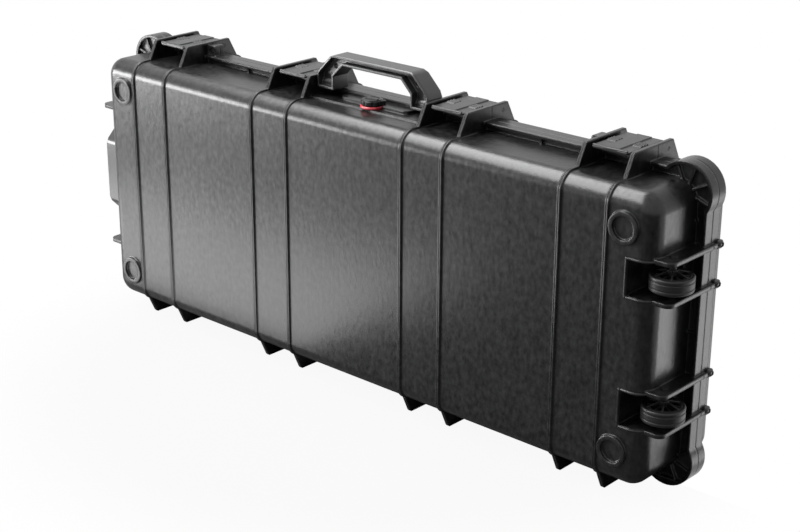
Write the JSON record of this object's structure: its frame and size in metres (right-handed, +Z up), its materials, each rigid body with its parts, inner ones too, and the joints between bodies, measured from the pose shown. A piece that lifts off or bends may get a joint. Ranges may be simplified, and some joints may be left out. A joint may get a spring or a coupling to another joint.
{
  "type": "protective hard case",
  "caption": "Long upright hard case with a hinged lid, rocking latches, folding handles, inset end wheels, a purge valve and padlock eyes.",
  "frame": {"origin": "on the ground, under the middle of the whole case as it stands on its hinge side", "axes": "+X along the length towards the wheels, +Y from the base's broad face to the lid, +Z up from the hinge side to the latch side and top handle"},
  "size_m": [0.999, 0.152, 0.437],
  "materials": {
    "shell_plastic": "satin, finely grained",
    "handle_plastic": "satin",
    "latch_plastic": "satin",
    "wheel_plastic": "satin",
    "tyre_rubber": "matte",
    "seal_rubber": "matte",
    "pin_steel": "brushed",
    "valve_plastic": "satin",
    "valve_red": "gloss",
    "vent_cloth": "matte"
  },
  "bodies": {
    "base": {"base_shell": "shell_plastic", "base_collar": "shell_plastic", "base_fins": "shell_plastic", "base_shelves": "shell_plastic", "base_ledge": "shell_plastic", "padlock_tabs_base": "shell_plastic", "padlock_sleeves_base": "pin_steel", "hinge_pins": "pin_steel", "top_handle_pins": "pin_steel", "end_handle_pins": "pin_steel", "wheel_axle_1": "pin_steel", "wheel_axle_2": "pin_steel", "valve_body": "valve_plastic", "valve_vent": "vent_cloth", "valve_ring": "valve_red", "valve_nut": "valve_plastic"},
    "lid": {"lid_shell": "shell_plastic", "lid_collar": "shell_plastic", "lid_fins": "shell_plastic", "lid_seal": "seal_rubber", "padlock_tabs_lid": "shell_plastic", "padlock_sleeves_lid": "pin_steel", "latch_pivot_pins": "pin_steel"},
    "lever_1": {"latch_lever_1": "latch_plastic", "latch_link_pin_1": "pin_steel"},
    "jaw_1": {"latch_jaw_1": "latch_plastic"},
    "lever_2": {"latch_lever_2": "latch_plastic", "latch_link_pin_2": "pin_steel"},
    "jaw_2": {"latch_jaw_2": "latch_plastic"},
    "lever_3": {"latch_lever_3": "latch_plastic", "latch_link_pin_3": "pin_steel"},
    "jaw_3": {"latch_jaw_3": "latch_plastic"},
    "lever_4": {"latch_lever_4": "latch_plastic", "latch_link_pin_4": "pin_steel"},
    "jaw_4": {"latch_jaw_4": "latch_plastic"},
    "carry_handle": {"top_handle": "handle_plastic"},
    "tow_handle": {"end_handle": "handle_plastic"},
    "wheel_1": {"wheel_hub_1": "wheel_plastic", "wheel_tyre_1": "tyre_rubber", "wheel_sleeve_1": "wheel_plastic"},
    "wheel_2": {"wheel_hub_2": "wheel_plastic", "wheel_tyre_2": "tyre_rubber", "wheel_sleeve_2": "wheel_plastic"},
    "knob": {"valve_knob": "valve_plastic"}
  },
  "joints": [
    {"name": "lid_hinge", "type": "hinge", "parent": "base", "child": "lid", "pos_m": [0, 0.018, 0.007], "axis": [-1, 0, 0], "range_deg": [0, 100]},
    {"name": "lever_1_pivot", "type": "hinge", "parent": "lid", "child": "lever_1", "pos_m": [-0.372, 0.04, 0.397], "axis": [-1, 0, 0], "range_deg": [0, 100]},
    {"name": "jaw_1_link", "type": "hinge", "parent": "lever_1", "child": "jaw_1", "pos_m": [-0.372, 0.025, 0.395], "axis": [-1, 0, 0], "range_deg": [-12, 0]},
    {"name": "lever_2_pivot", "type": "hinge", "parent": "lid", "child": "lever_2", "pos_m": [-0.1325, 0.04, 0.397], "axis": [-1, 0, 0], "range_deg": [0, 100]},
    {"name": "jaw_2_link", "type": "hinge", "parent": "lever_2", "child": "jaw_2", "pos_m": [-0.1325, 0.025, 0.395], "axis": [-1, 0, 0], "range_deg": [-12, 0]},
    {"name": "lever_3_pivot", "type": "hinge", "parent": "lid", "child": "lever_3", "pos_m": [0.1325, 0.04, 0.397], "axis": [-1, 0, 0], "range_deg": [0, 100]},
    {"name": "jaw_3_link", "type": "hinge", "parent": "lever_3", "child": "jaw_3", "pos_m": [0.1325, 0.025, 0.395], "axis": [-1, 0, 0], "range_deg": [-12, 0]},
    {"name": "lever_4_pivot", "type": "hinge", "parent": "lid", "child": "lever_4", "pos_m": [0.372, 0.04, 0.397], "axis": [-1, 0, 0], "range_deg": [0, 100]},
    {"name": "jaw_4_link", "type": "hinge", "parent": "lever_4", "child": "jaw_4", "pos_m": [0.372, 0.025, 0.395], "axis": [-1, 0, 0], "range_deg": [-12, 0]},
    {"name": "carry_handle_fold", "type": "hinge", "parent": "base", "child": "carry_handle", "pos_m": [0, -0.00315, 0.396], "axis": [1, 0, 0], "range_deg": [0, 90]},
    {"name": "tow_handle_swing", "type": "hinge", "parent": "base", "child": "tow_handle", "pos_m": [-0.4855, -0.01215, 0.2], "axis": [0, 0, -1], "range_deg": [0, 90]},
    {"name": "wheel_1_spin", "type": "hinge", "parent": "base", "child": "wheel_1", "pos_m": [0.474, -0.042, 0.276], "axis": [0, 0, 1], "continuous": true},
    {"name": "wheel_2_spin", "type": "hinge", "parent": "base", "child": "wheel_2", "pos_m": [0.474, -0.042, 0.118], "axis": [0, 0, 1], "continuous": true},
    {"name": "valve_knob_turn", "type": "hinge", "parent": "base", "child": "knob", "pos_m": [0, -0.01445, 0.386], "axis": [0, 0, 1], "range_deg": [0, 180]}
  ]
}
